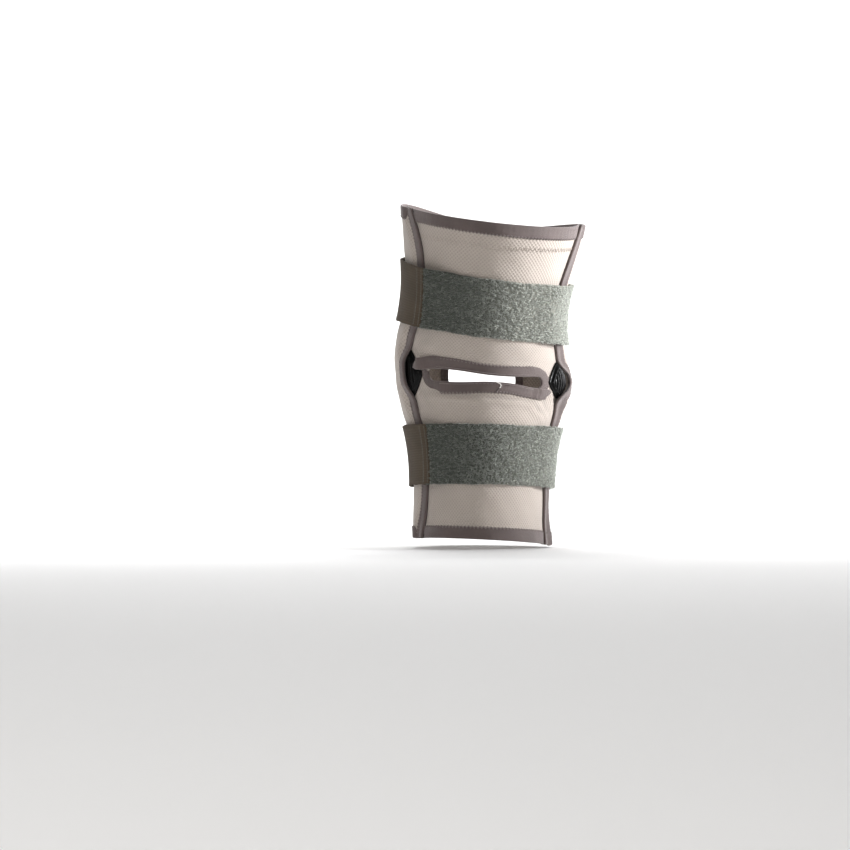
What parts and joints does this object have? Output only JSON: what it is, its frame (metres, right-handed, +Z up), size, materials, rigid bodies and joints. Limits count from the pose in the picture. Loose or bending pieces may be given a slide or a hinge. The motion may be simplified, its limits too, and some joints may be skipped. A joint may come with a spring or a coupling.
{
  "type": "hinged knee support with patella opening",
  "caption": "Knitted knee support with tape-bound edges, side hinges, an open patella, a slit behind the knee and loop-pile straps, in its worn form",
  "frame": {"origin": "middle of the knee, inside the support, where the leg sits", "axes": "+Z up the leg, -Y behind the knee where the slit and the straps' plain run are, +Y in front where the patella opening is, +X to the wearer's right"},
  "size_m": [0.1621, 0.1587, 0.2907],
  "materials": {
    "knit": "warm light grey honeycomb knit, matt",
    "binding_tape": "dark warm grey woven binding tape, stitched, slight sheen",
    "hinge_plastic": "black moulded plastic with upright ribs",
    "stay_steel": "plain flat spring steel, hidden between the panels",
    "loop_pile": "fuzzy green-grey loop pile",
    "woven_elastic": "smooth brown-grey woven elastic"
  },
  "bodies": {
    "root": {"front_panel": "knit", "back_panel": "knit", "side_binding_left": "binding_tape", "side_binding_right": "binding_tape", "top_binding_back": "binding_tape", "top_binding_front": "binding_tape", "bottom_binding_back": "binding_tape", "bottom_binding_front": "binding_tape", "slit_binding": "binding_tape", "patella_binding": "binding_tape", "hinge_cover_left": "hinge_plastic", "hinge_cover_right": "hinge_plastic", "hinge_arm_upper_left": "stay_steel", "hinge_arm_lower_left": "stay_steel", "hinge_arm_upper_right": "stay_steel", "hinge_arm_lower_right": "stay_steel", "upper_strap": "loop_pile", "lower_strap": "loop_pile", "upper_strap_elastic": "woven_elastic", "lower_strap_elastic": "woven_elastic"}
  },
  "joints": []
}
